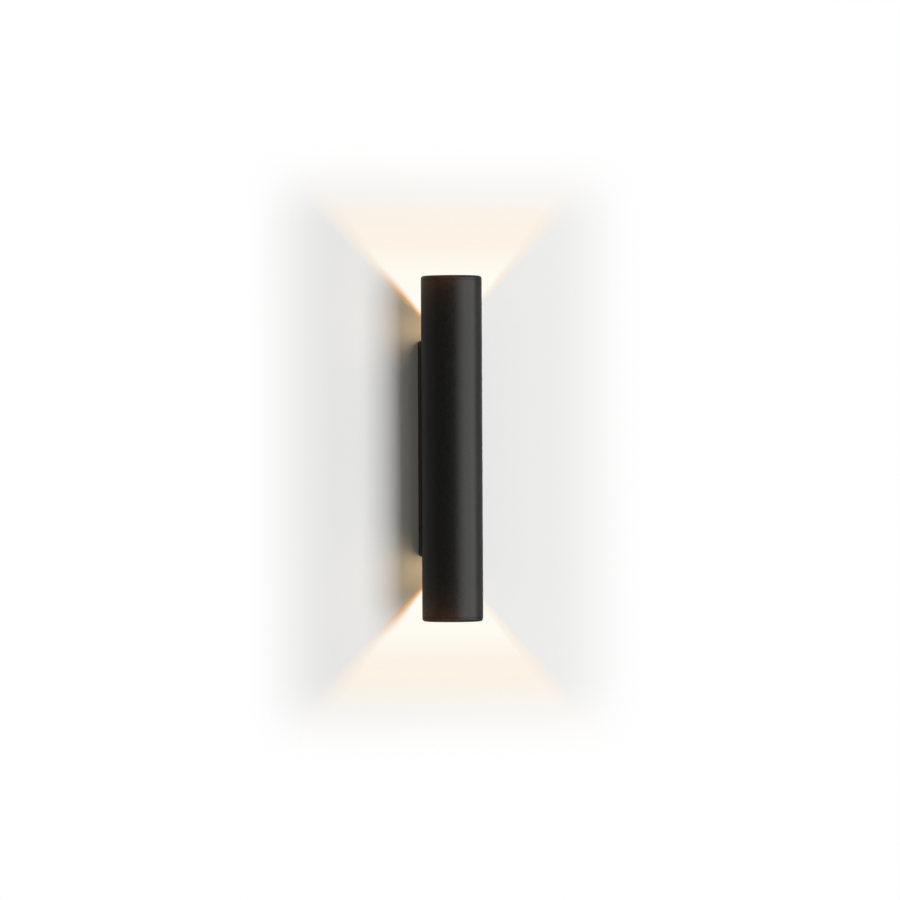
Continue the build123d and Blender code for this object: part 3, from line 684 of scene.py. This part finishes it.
@dataclass
class Bench:
    """What every sub-assembly works from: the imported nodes, their bodies and the finishes."""

    nodes: dict[str, Piece]
    bodies: dict[str, str]  # of each node
    slots: dict[str, str]  # of each node
    materials: dict[str, bpy.types.Material]

    def dress(self, node: str) -> None:
        """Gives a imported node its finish, and smooth shading up to its sharp edges.

        Args:
            node: The node's name.
        """
        piece = self.nodes[node]
        piece.data.materials.clear()
        piece.data.materials.append(self.materials[self.slots[node]])
        select_only(piece)
        bpy.ops.mesh.customdata_custom_splitnormals_clear()
        for face in piece.data.polygons:
            face.use_smooth = True
            face.material_index = 0
        weld = piece.modifiers.new("weld", "WELD")
        weld.merge_threshold = SAME_PLACE / 2
        split = piece.modifiers.new("split", "EDGE_SPLIT")
        split.split_angle = SHARP

    def stand_in(self, piece: Piece, node: str) -> None:
        """Lets a new piece take a node's place, finish and body.

        Args:
            piece: The new piece.
            node: The node that it stands for.
        """
        self.add(piece, self.slots[node], self.bodies[node])
        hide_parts(node)
        LOG.info("%s stands in for %s", piece.name, node)

    def add(self, piece: Piece, slot: str, body: str) -> None:
        """Puts a new piece on a body, in its finish.

        Args:
            piece: The new piece.
            slot: The finish's slot.
            body: The body that carries it.
        """
        piece.data.materials.clear()
        piece.data.materials.append(self.materials[slot])
        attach(piece, body)
        LOG.info("%s in %s on %s", piece.name, slot, body)

    def screws(self, node: str, thread: Thread, facing: Facing) -> None:
        """Puts threaded screws in the place of a node's plain ones.

        Args:
            node: The node that holds one plain screw or several.
            thread: Their size.
            facing: Which way their heads face.
        """
        head_h = thread.value[2] * MM
        made = []
        for number, (low, high) in enumerate(solids_of(self.nodes[node]), start=1):
            middle = (low + high) / 2
            way = facing.axis(middle)
            size = high - low
            along = abs(size.dot(way))
            # The least side is the head's width, but in a screw shorter than that its length.
            across = min(size) if along > min(size) + MM / 100 else max(size)
            if not made:
                made.append(PanScrew(thread, across, along - head_h).build(f"{node}_{number}"))
                pattern = made[0].data.copy()
            else:
                copied = bpy.data.objects.new(f"{node}_{number}", pattern.copy())
                bpy.context.scene.collection.objects.link(copied)
                made.append(copied)
            seat = middle + way * (along / 2 - head_h)
            turn = way.to_track_quat("Z", "Y").to_matrix().to_4x4()
            made[-1].data.transform(Matrix.Translation(seat) @ turn)
        bpy.data.meshes.remove(pattern)
        self.stand_in(join(made, f"{node}_threaded"), node)


@dataclass
class Assembly:
    """Pieces that go on together: nodes that keep their shape, and screws that get a thread."""

    bench: Bench
    nodes: ClassVar[tuple[str, ...]] = ()
    screws: ClassVar[tuple[tuple[str, Thread, Facing], ...]] = ()

    def name(self, piece: str) -> str:
        """The node of a piece in this sub-assembly."""
        return piece

    def make(self) -> None:
        """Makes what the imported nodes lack. Most sub-assemblies lack nothing."""

    def build(self) -> None:
        """Dresses the nodes, makes what they lack and threads the screws."""
        for piece in self.nodes:
            self.bench.dress(self.name(piece))
        LOG.info("%s dressed: %s", type(self).__name__, ", ".join(self.nodes))
        self.make()
        for node, thread, facing in self.screws:
            self.bench.screws(node, thread, facing)


class Casing(Assembly):
    """The tube, its two end rings and the back box behind it."""

    nodes = ("body_tube", "end_ring_top", "end_ring_bottom", "back_box")


class Hanging(Assembly):
    """The wall bracket, the bars that hang on it and what holds them."""

    nodes = ("wall_bracket", "hanger_bars", "lock_screw_left", "lock_screw_right")
    screws = (("hanger_screws", Thread.M3, Facing.WALL),)


@dataclass
class LedModule(Assembly):
    """One of the two light sources: heat sink, LED, reflector, glass and bezel."""

    end: str
    throat_r_mm: float = 9.3
    rim_r_mm: float = 21.3
    bulge_mm: float = 1.6
    wall_mm: float = 1.2
    facet_rows: int = 7
    facet_columns: int = 32
    dam_w_mm: float = 0.7
    dam_rise_mm: float = 0.25
    dam_round: float = 0.25  # of its width that each shoulder takes
    nodes = (
        "heat_sink", "thermal_pad", "led_board", "led_emitter", "cob_holder",
        "glass", "glass_seal", "bezel",
    )

    def name(self, piece: str) -> str:
        """The node of that piece at this end."""
        return f"{piece}_{self.end}"

    @property
    def up(self) -> int:
        """1 for the module that shines up, -1 for the other."""
        return 1 if self.end == "top" else -1

    def round_piece(self, piece: str) -> tuple[float, float, float, float]:
        """Measures a round node.

        Args:
            piece: Its name without the end.

        Returns:
            Its radius, its axis' y, and the z of its inner and its outer face.
        """
        low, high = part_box(self.name(piece))
        faces = (low.z, high.z) if self.up > 0 else (high.z, low.z)
        return (high.x - low.x) / 2, (low.y + high.y) / 2, *faces

    def reflector(self) -> Piece:
        """Makes a bowl of flat facets on the plain bowl's curve, with its flange.

        Returns:
            The reflector.
        """
        flange_r, axis_y, throat_z, rim_z = self.round_piece("reflector")
        throat_r, rim_r = self.throat_r_mm * MM, self.rim_r_mm * MM
        wall = self.wall_mm * MM
        curve = []
        for step in range(self.facet_rows + 1):
            share = step / self.facet_rows
            out = self.bulge_mm * MM * 4 * share * (1 - share)
            radius = throat_r + (rim_r - throat_r) * share + out
            curve.append((radius, throat_z + (rim_z - throat_z) * share))
        back = [(radius + wall, z) for radius, z in reversed(curve)]
        flange_z = rim_z - self.up * wall
        outline = curve + [(flange_r, rim_z), (flange_r, flange_z)]
        outline += [(rim_r + wall, flange_z)] + back[1:]
        return spin_profile(outline, axis_y, self.facet_columns, self.name("faceted_reflector"))

    def dam(self) -> Piece:
        """Makes the white bead that holds the phosphor in.

        Returns:
            The bead.
        """
        inner, axis_y, board_z, top_z = self.round_piece("led_emitter")
        width = self.dam_w_mm * MM
        crown = top_z + self.up * self.dam_rise_mm * MM
        outline = [
            (inner, board_z),
            (inner + width, board_z),
            (inner + width, (board_z + crown) / 2),
            (inner + width * (1 - self.dam_round), crown),
            (inner + width * self.dam_round, crown),
            (inner, top_z),
        ]
        piece = spin_profile(outline, axis_y, 2 * self.facet_columns, self.name("phosphor_dam"))
        bpy.ops.object.shade_smooth_by_angle(angle=math.radians(50))
        return piece

    def make(self) -> None:
        """Makes the faceted reflector and the dam."""
        self.bench.stand_in(self.reflector(), self.name("reflector"))
        self.bench.add(self.dam(), "white_polycarbonate", self.bench.bodies[self.name("led_board")])


class Driver(Assembly):
    """The LED driver on its carrier inside the tube, and the screws in and round the tube."""

    nodes = (
        "driver_carrier", "driver_base", "driver_cover",
        "driver_board", "driver_transformer", "driver_capacitors",
    )
    screws = (
        ("carrier_screws", Thread.M3, Facing.WALL),
        ("heat_sink_screws", Thread.M3, Facing.WALL),
        ("driver_screws", Thread.M3, Facing.ROOM),
        ("holder_screws", Thread.M3, Facing.NEARER_END),
    )


@dataclass
class Wiring(Assembly):
    """The terminal block, the earth tag, the grommet and the leads."""

    slot_w_mm: float = 0.5
    slot_depth_mm: float = 0.7
    edge_r_mm: float = 0.25
    nodes = (
        "cable_grommet", "terminal_block", "earth_tag",
        "neutral_lead", "line_lead", "earth_lead",
        "led_lead_plus_top", "led_lead_plus_bottom",
        "led_lead_minus_top", "led_lead_minus_bottom",
    )
    screws = (
        ("terminal_block_screws", Thread.M25, Facing.WALL),
        ("earth_screw", Thread.M3, Facing.WALL),
    )

    def clamp_screw(self, low: Vector, high: Vector) -> Piece:
        """Makes a slotted grub screw that fills the plain one's box.

        Args:
            low: The box's lowest corner.
            high: Its highest corner.

        Returns:
            The screw, its slot towards the wall.
        """
        middle = (low + high) / 2
        radius = (high.x - low.x) / 2
        piece = rod(radius, high.y - low.y, middle, steps=32, turn=(math.pi / 2, 0, 0))
        bevel(piece, lambda place: place.y > middle.y, self.edge_r_mm * MM, segments=3)
        depth = self.slot_depth_mm * MM
        select_only()
        bpy.ops.mesh.primitive_cube_add(size=1, location=(middle.x, high.y, middle.z))
        slot = bpy.context.object
        slot.scale = (3 * radius, 2 * depth, self.slot_w_mm * MM)
        bpy.ops.object.transform_apply(location=True, scale=True)
        cut(piece, slot)
        return piece

    def make(self) -> None:
        """Makes the clamp screws with their slots."""
        clamps = [self.clamp_screw(*box) for box in solids_of(self.bench.nodes["terminal_screws"])]
        grubs = join(clamps, "terminal_screws_slotted")
        bpy.ops.object.shade_smooth_by_angle(angle=math.radians(30))
        self.bench.stand_in(grubs, "terminal_screws")


# -------------------- the camera, the wall, the lamps


@dataclass(frozen=True)
class Viewpoint:
    """Where the photograph was taken from."""

    azimuth: float = -8.0  # degrees, to the left of straight on
    distance: float = 5.0
    px_per_metre: float = 1016.0  # at the tube's axis
    image_px: int = 900
    light_px: tuple[float, float] = (452.0, 448.6)  # the tube's middle in the image
    roll: float = 0.27  # degrees by which the light leans to the left
    sensor_mm: float = 36.0

    def build(self, middle: Vector) -> None:
        """Places the camera and makes it the scene's.

        Args:
            middle: The middle of the tube.
        """
        turn = math.radians(self.azimuth)
        back = Vector((math.sin(turn), -math.cos(turn), 0))
        right = Vector((math.cos(turn), math.sin(turn), 0))
        off = [(px - self.image_px / 2) / self.px_per_metre for px in self.light_px]
        aim = middle - right * off[0] + Vector((0, 0, off[1]))
        data = bpy.data.cameras.new("camera")
        data.sensor_width = self.sensor_mm
        data.lens = self.sensor_mm * self.px_per_metre * self.distance / self.image_px
        camera = bpy.data.objects.new("camera", data)
        bpy.context.scene.collection.objects.link(camera)
        camera.location = aim + back * self.distance
        tilt = Matrix.Rotation(math.radians(-self.roll), 4, "Z")
        facing = back.to_track_quat("Z", "Y").to_matrix().to_4x4()
        camera.rotation_euler = (facing @ tilt).to_euler()
        bpy.context.scene.camera = camera


@dataclass(frozen=True)
class PaintedGlow:
    """Painted light: the bright warm V of the LEDs' beams on the wall above and below the light,
    painted into the wall as emission by its place, over the beam lamps' own light.
    """

    centre_x: float = -0.0015
    centre_z: float = -0.0035
    point_z: float = 0.1055  # from the centre to the point of the V, which the light hides
    point_r: float = 0.01  # of its rounding
    tangent: float = 0.86
    rim_w: float = 0.009  # of the V's soft rim where it leaves the tube
    rim_from: float = 0.0465  # above the point
    rim_growth: float = 0.24
    # Painted light: close to the tube the painted glow turns nearly white, a painted hot spot.
    close_z: Span = (0.17, 0.215)  # nearly white up to the first, warm past the second
    close_rim: Span = (1.0, 0.5)  # of the rim's width inside its outer edge, whole to none
    painted_close_colour: str = "#fefcf2"
    # Painted light: an orange fringe painted along the V's left rim.
    fringe_z: Span = (0.15, 0.188)  # whole up to the first, none past the second
    painted_fringe_colour: str = "#eaa550"
    fringe_reach: float = 1.25  # of the rim's width inside its outer edge
    fringe_strength: float = 1.25
    fringe_start: float = 0.025  # left of the middle, where it is whole
    fading_z: Span = (0.215, 0.27)
    faded: float = 0.4  # of the glow is left past the second
    # Across the rim from its outer edge: the share of its width, the painted colour and how much of
    # the paint it covers.
    stops: tuple[tuple[float, str, float], ...] = (
        (0.0, "#f8ece0", 0.0),
        (0.45, "#faeee0", 0.65),
        (1.0, "#fcf2e5", 1.0),
    )

    def steps(self) -> dict[str, tuple[Any, ...]]:
        """The sums that give how far inside the V a place on the wall is, from its x and z.

        Returns:
            Each sum's operation and what it takes: numbers, or the names of places and sums.
        """
        return {
            "side": ("SUBTRACT", "x", self.centre_x),
            "side squared": ("MULTIPLY", "side", "side"),
            "rounded": ("ADD", "side squared", self.point_r**2),
            "from middle": ("SQRT", "rounded"),
            "off centre": ("SUBTRACT", "z", self.centre_z),
            "height": ("ABSOLUTE", "off centre"),
            "past point": ("SUBTRACT", "height", self.point_z),
            "half width": ("MULTIPLY", "past point", self.tangent),
            "inside": ("SUBTRACT", "half width", "from middle"),
            "past tube": ("SUBTRACT", "past point", self.rim_from),
            "rim": ("MULTIPLY_ADD", "past tube", self.rim_growth, self.rim_w),
            "rim width": ("MAXIMUM", "rim", self.rim_w / 2),
            "rim share": ("DIVIDE", "inside", "rim width"),
            "share": ("ADD", "rim share", 0.5),
            "left over": ("SUBTRACT", self.fringe_reach, "share"),
            "outer": ("MULTIPLY", "left over", self.fringe_strength),
            "leftwards": ("MULTIPLY", "x", -1 / self.fringe_start),
            "at most whole": ("MINIMUM", "leftwards", 1.0),
            "left": ("MAXIMUM", "at most whole", 0.0),
            "left rim": ("MULTIPLY", "outer", "left"),
        }


@dataclass(frozen=True)
class Plaster:
    """Matt white wall paint with the LEDs' glow painted on it as emission, going plain white away
    from the light.
    """

    colour: str = "#e4e5e6"
    shine: float = 0.42  # of the wall that gloss shows
    fade_x: Span = (0.105, 0.205)  # from the light to where the wall is plain white
    fade_z: Span = (0.215, 0.31)
    box_half_w: float = 0.027  # of the wall behind the back box, where nothing is drawn
    box_half_h: float = 0.1015
    box_middle_z: float = 0.0045
    # The LEDs' light on the wall, painted into the paint as emission.
    glow: PaintedGlow = PaintedGlow()

    def sums(self, tree: Tree) -> dict[str, Socket]:
        """Adds the painted glow's sums, those for where nothing is drawn, and the fades.

        Args:
            tree: The paint's node tree.

        Returns:
            What each comes to, by its name.
        """
        place = add_node(tree, "NewGeometry")
        split = add_node(tree, "SeparateXYZ", {0: place.outputs["Position"]})
        known = {"x": split.outputs["X"], "z": split.outputs["Z"]}
        known["back"] = place.outputs["Backfacing"]
        steps = self.glow.steps() | {
            "away": ("ABSOLUTE", "x"),
            "off middle": ("SUBTRACT", "z", self.box_middle_z),
            "up or down": ("ABSOLUTE", "off middle"),
            "box across": ("LESS_THAN", "away", self.box_half_w),
            "box upright": ("LESS_THAN", "up or down", self.box_half_h),
            "behind box": ("MULTIPLY", "box across", "box upright"),
            "not drawn": ("MAXIMUM", "behind box", "back"),
        }
        for name, (operation, *values) in steps.items():
            inputs = {slot: known.get(value, value) for slot, value in enumerate(values)}
            known[name] = add_node(tree, "Math", inputs, operation=operation).outputs[0]
        for name, value, (start, end), last in (
            ("close", "height", self.glow.close_z, 0.0),
            ("inner", "share", self.glow.close_rim, 0.0),
            ("fringe", "height", self.glow.fringe_z, 0.0),
            ("fading", "height", self.glow.fading_z, self.glow.faded),
            ("wide", "away", self.fade_x, 0.0),
            ("high", "height", self.fade_z, 0.0),
        ):
            ends = {"From Min": start, "From Max": end, "To Min": 1.0, "To Max": last}
            inputs = {"Value": known[value]} | ends
            fade = add_node(tree, "MapRange", inputs, interpolation_type="SMOOTHSTEP")
            known[name] = fade.outputs[0]
        return known

    def painted_glow_colour(self, tree: Tree, known: dict[str, Socket], colour: Socket) -> Socket:
        """Turns the painted glow's colour nearly white close to the tube, and orange along the left
        rim.

        Args:
            tree: The paint's node tree.
            known: The sums and fades by name.
            colour: The colour across the rim.

        Returns:
            The glow's colour.
        """
        for reach, share, shade in (
            ("close", "inner", self.glow.painted_close_colour),
            ("fringe", "left rim", self.glow.painted_fringe_colour),
        ):
            inputs = {0: known[reach], 1: known[share]}
            part = add_node(tree, "Math", inputs, operation="MULTIPLY", use_clamp=True)
            inputs = {0: part.outputs[0], 1: colour, 2: srgb(shade)}
            colour = add_node(tree, "MixRGB", inputs).outputs[0]
        return colour

    def material(self) -> bpy.types.Material:
        """Lays the painted glow over the paint and fades both out.

        Returns:
            The wall's material.
        """
        material = bpy.data.materials.new("wall_paint")
        material.use_nodes = True
        material.cycles.emission_sampling = "NONE"
        tree = material.node_tree
        tree.nodes.clear()
        known = self.sums(tree)
        ramp = add_node(tree, "ValToRGB", {"Fac": known["share"]})
        ramp.color_ramp.elements.new(1.0)
        for stop, (position, colour, cover) in zip(ramp.color_ramp.elements, self.glow.stops):
            stop.position = position
            stop.color = (*srgb(colour)[:3], cover)
        ray = add_node(tree, "LightPath").outputs["Is Glossy Ray"]
        painted_glow_cover, near, dimmed = (
            add_node(tree, "Math", {0: first, 1: second}, operation="MULTIPLY").outputs[0]
            for first, second in (
                (ramp.outputs["Alpha"], known["fading"]),
                (known["wide"], known["high"]),
                (ray, 1 - self.shine),
            )
        )
        colour = self.painted_glow_colour(tree, known, ramp.outputs["Color"])
        # Painted light: an emission in the glow's colour stands for the beams' light on the wall
        # inside the V.
        shader, painted_glow_light, white, dark, clear = (
            add_node(tree, kind, inputs).outputs[0]
            for kind, inputs in (
                ("BsdfDiffuse", {"Color": srgb(self.colour), "Roughness": 0.0}),
                ("Emission", {"Color": colour, "Strength": 1.0}),
                ("Emission", {"Color": WHITE, "Strength": 1.0}),
                ("Emission", {"Color": BLACK, "Strength": 0.0}),
                ("BsdfTransparent", {}),
            )
        )
        for share, other, covers in (
            (painted_glow_cover, painted_glow_light, True),
            (near, white, False),
            (dimmed, dark, True),
            (known["not drawn"], clear, True),
        ):
            first, second = (shader, other) if covers else (other, shader)
            inputs = {0: share, 1: first, 2: second}
            shader = add_node(tree, "MixShader", inputs).outputs[0]
        add_node(tree, "OutputMaterial", {"Surface": shader})
        return material


def add_lamp(name: str, kind: str, power: float, colour: str, **settings: Any) -> Piece:
    """Adds a lamp to the scene.

    Args:
        name: The lamp's name.
        kind: Its kind, as Blender calls it.
        power: Watts.
        colour: Its colour as "#rrggbb".
        settings: The lamp's own properties.

    Returns:
        The lamp.
    """
    data = bpy.data.lights.new(name, kind)
    data.energy = power
    data.color = srgb(colour)[:3]
    for setting, value in settings.items():
        setattr(data, setting, value)
    lamp = bpy.data.objects.new(name, data)
    bpy.context.scene.collection.objects.link(lamp)
    return lamp


@dataclass(frozen=True)
class Softbox:
    """A white area lamp that faces the light."""

    name: str
    azimuth: float  # degrees from straight in front, to the right
    elevation: float  # degrees above the light
    distance: float  # from the light
    size: tuple[float, float]
    power: float
    matt: bool  # whether it lights matt surfaces
    gloss: bool  # whether it shows in gloss

    def build(self) -> None:
        """Hangs the lamp and turns it to the light."""
        shape = {"shape": "RECTANGLE", "size": self.size[0], "size_y": self.size[1]}
        lamp = add_lamp(self.name, "AREA", self.power, "#ffffff", **shape)
        turn, rise = math.radians(self.azimuth), math.radians(self.elevation)
        away = Vector(
            (math.sin(turn) * math.cos(rise), -math.cos(turn) * math.cos(rise), math.sin(rise))
        )
        lamp.location = away * self.distance
        lamp.rotation_euler = away.to_track_quat("Z", "Y").to_euler()
        lamp.visible_diffuse = self.matt
        lamp.visible_glossy = self.gloss


@dataclass(frozen=True)
class Studio:
    """A white wall that sweeps into a floor, softboxes round the light, and the light's beams."""

    wall_gap: float = 0.0004
    half_width: float = 3.0
    top: float = 2.0
    floor_z: float = -1.2
    depth: float = 4.0
    sweep_r: float = 0.4
    paint: Plaster = Plaster()
    ambient: float = 0.165
    ambient_colour: str = "#fff7e6"
    front_dim: float = 0.015  # of the room behind the camera, as gloss shows it
    room_span: Span = (-0.5, 0.3)  # of a direction's y, from that room to the wall's white
    softboxes: tuple[Softbox, ...] = (
        Softbox("key", 29.3, 0, 3.0, (1.5, 2.4), 99.5, matt=True, gloss=False),
        Softbox("key_shine", 28, 0, 2.8, (1.4, 2.3), 24.0, matt=False, gloss=True),
        Softbox("key_side", 8.5, 0, 3.0, (0.63, 2.4), 4.3, matt=True, gloss=False),
        Softbox("edge", 63, 0, 3.0, (2.95, 3.75), 138.0, matt=False, gloss=True),
        Softbox("rear_left", 215, 25, 1.2, (0.8, 0.8), 14.0, matt=True, gloss=False),
        Softbox("rear_right", 145, 25, 1.2, (0.8, 0.8), 14.0, matt=True, gloss=False),
    )
    axis_y: float = -0.044  # of the tube
    beam_colour: str = "#ffd8a3"
    beam_power: float = 0.9
    beam_z: float = 0.062
    beam_tangent: float = 0.68
    beam_r: float = 0.002
    spill_power: float = 0.0155
    spill_d: float = 0.034
    spill_x: float = -0.01
    spill_rise: float = 0.019  # above the glass
    spill_way: Point = (-1.0, 1.2, 0.3)  # that the upper spill shines
    haze_colour: str = "#ffb264"
    haze_r: float = 0.012
    haze: tuple[tuple[Point, float], ...] = (  # the places of its upper lamps, and their power
        ((-0.052, -0.054, 0.166), 0.08),
        ((-0.02, -0.084, 0.176), 0.045),
        ((0.004, -0.092, 0.177), 0.045),
    )

    def wall(self) -> None:
        """The wall and floor in one sheet, seen only from the front and fading to white."""
        select_only()
        bpy.ops.mesh.primitive_plane_add(size=1)
        sheet = bpy.context.object
        sheet.name = "wall_and_floor"
        sheet.scale = (2 * self.half_width, self.top - self.floor_z, 1)
        sheet.rotation_euler.x = math.pi / 2
        sheet.location = (0, self.wall_gap, (self.top + self.floor_z) / 2)
        bpy.ops.object.transform_apply(location=True, rotation=True, scale=True)
        bpy.ops.object.mode_set(mode="EDIT")
        select_vertices(sheet, lambda place: place.z < 0)
        bpy.ops.mesh.extrude_region_move(TRANSFORM_OT_translate={"value": (0, -self.depth, 0)})
        bpy.ops.object.mode_set(mode="OBJECT")
        back = self.wall_gap - self.depth / 2
        bevel(sheet, lambda place: place.z < 0 and place.y > back, self.sweep_r, segments=16)
        bpy.ops.object.shade_smooth()
        sheet.data.materials.append(self.paint.material())
        sheet.visible_diffuse = sheet.visible_shadow = False

    def world(self) -> None:
        """White for the camera and glass, dimmer in front for gloss, and low ambient light."""
        world = bpy.data.worlds.new("studio")
        bpy.context.scene.world = world
        world.use_nodes = True
        tree = world.node_tree
        tree.nodes.clear()
        ray = add_node(tree, "LightPath")
        way = add_node(tree, "TexCoord").outputs["Generated"]
        split = add_node(tree, "SeparateXYZ", {0: way})
        start, end = self.room_span
        ends = {"From Min": start, "From Max": end, "To Min": self.front_dim, "To Max": 1.0}
        room = add_node(tree, "MapRange", {"Value": split.outputs["Y"]} | ends).outputs[0]
        values = {"Color": srgb(self.ambient_colour), "Strength": self.ambient}
        shader = add_node(tree, "Background", values).outputs[0]
        for kind, strength in (
            ("Is Glossy Ray", room),
            ("Is Transmission Ray", 1.0),
            ("Is Camera Ray", 1.0),
        ):
            light = add_node(tree, "Background", {"Color": WHITE, "Strength": strength})
            inputs = {0: ray.outputs[kind], 1: shader, 2: light.outputs[0]}
            shader = add_node(tree, "MixShader", inputs).outputs[0]
        add_node(tree, "OutputWorld", {"Surface": shader})

    def beams(self, spill_z: float) -> None:
        """The cone of each LED, and the spill from its glass to the left of the tube.

        Args:
            spill_z: How far above the middle the upper spill is.
        """
        cut_off = {"spot_size": 2 * math.atan(self.beam_tangent), "spot_blend": 0.1}
        cut_off["shadow_soft_size"] = self.beam_r
        disc = {"shape": "DISK", "size": self.spill_d}
        for end, way in (("top", 1), ("bottom", -1)):
            cone = add_lamp(f"beam_{end}", "SPOT", self.beam_power, self.beam_colour, **cut_off)
            cone.location = (0, self.axis_y, way * self.beam_z)
            cone.rotation_euler.x = math.pi if way > 0 else 0
            spill = add_lamp(f"spill_{end}", "AREA", self.spill_power, self.beam_colour, **disc)
            spill.location = (self.spill_x, self.axis_y, way * spill_z)
            x, y, z = self.spill_way
            spill.rotation_euler = Vector((-x, -y, -way * z)).to_track_quat("Z", "Y").to_euler()
            spill.visible_glossy = False

    def warm(self, coated: list[Piece]) -> None:
        """The warm light that the glow throws back on the coat near each end, and on no more.

        Args:
            coated: The pieces that take it.
        """
        takers = bpy.data.collections.new("near_the_ends")
        for piece in coated:
            takers.objects.link(piece)
        for number, ((x, y, z), power) in enumerate(self.haze):
            for way in (1, -1):
                lamp = add_lamp(
                    f"haze_{number}", "POINT", power, self.haze_colour, shadow_soft_size=self.haze_r
                )
                lamp.location = (x, y, way * z)
                lamp.visible_glossy = lamp.visible_camera = False
                lamp.light_linking.receiver_collection = takers

    def build(self, coated: list[Piece]) -> None:
        """Sets the stage and lights it.

        Args:
            coated: The pieces that the glow warms.
        """
        self.wall()
        self.world()
        for softbox in self.softboxes:
            softbox.build()
        self.beams(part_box("glass_top")[1].z + self.spill_rise)
        self.warm(coated)
        bpy.context.scene.view_settings.view_transform = "Standard"


def corners(box: tuple[Vector, Vector]) -> list[list[float]]:
    """A box as plain lists of numbers."""
    return [list(corner) for corner in box]


def main() -> None:
    """Loads the frame, dresses each sub-assembly and sets the stage."""
    logging.basicConfig(level=logging.INFO, format="%(name)s: %(message)s")
    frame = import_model()
    bodies = frame["record"]["behaviour"]["bodies"]
    bench = Bench(
        nodes=frame["nodes"],
        bodies={node: body for body, members in bodies.items() for node in members},
        slots={part["node"]: part["material_slot"] for part in frame["record"]["subparts"]},
        materials={finish.slot: finish.material() for finish in FINISHES},
    )
    low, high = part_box("body_tube")
    Viewpoint().build((low + high) / 2)
    casing = Casing(bench)
    Studio().build([bench.nodes[node] for node in casing.nodes])
    casing.build()
    Hanging(bench).build()
    for end in ("top", "bottom"):
        LedModule(bench, end).build()
    Driver(bench).build()
    Wiring(bench).build()


if __name__ == "__main__":
    main()
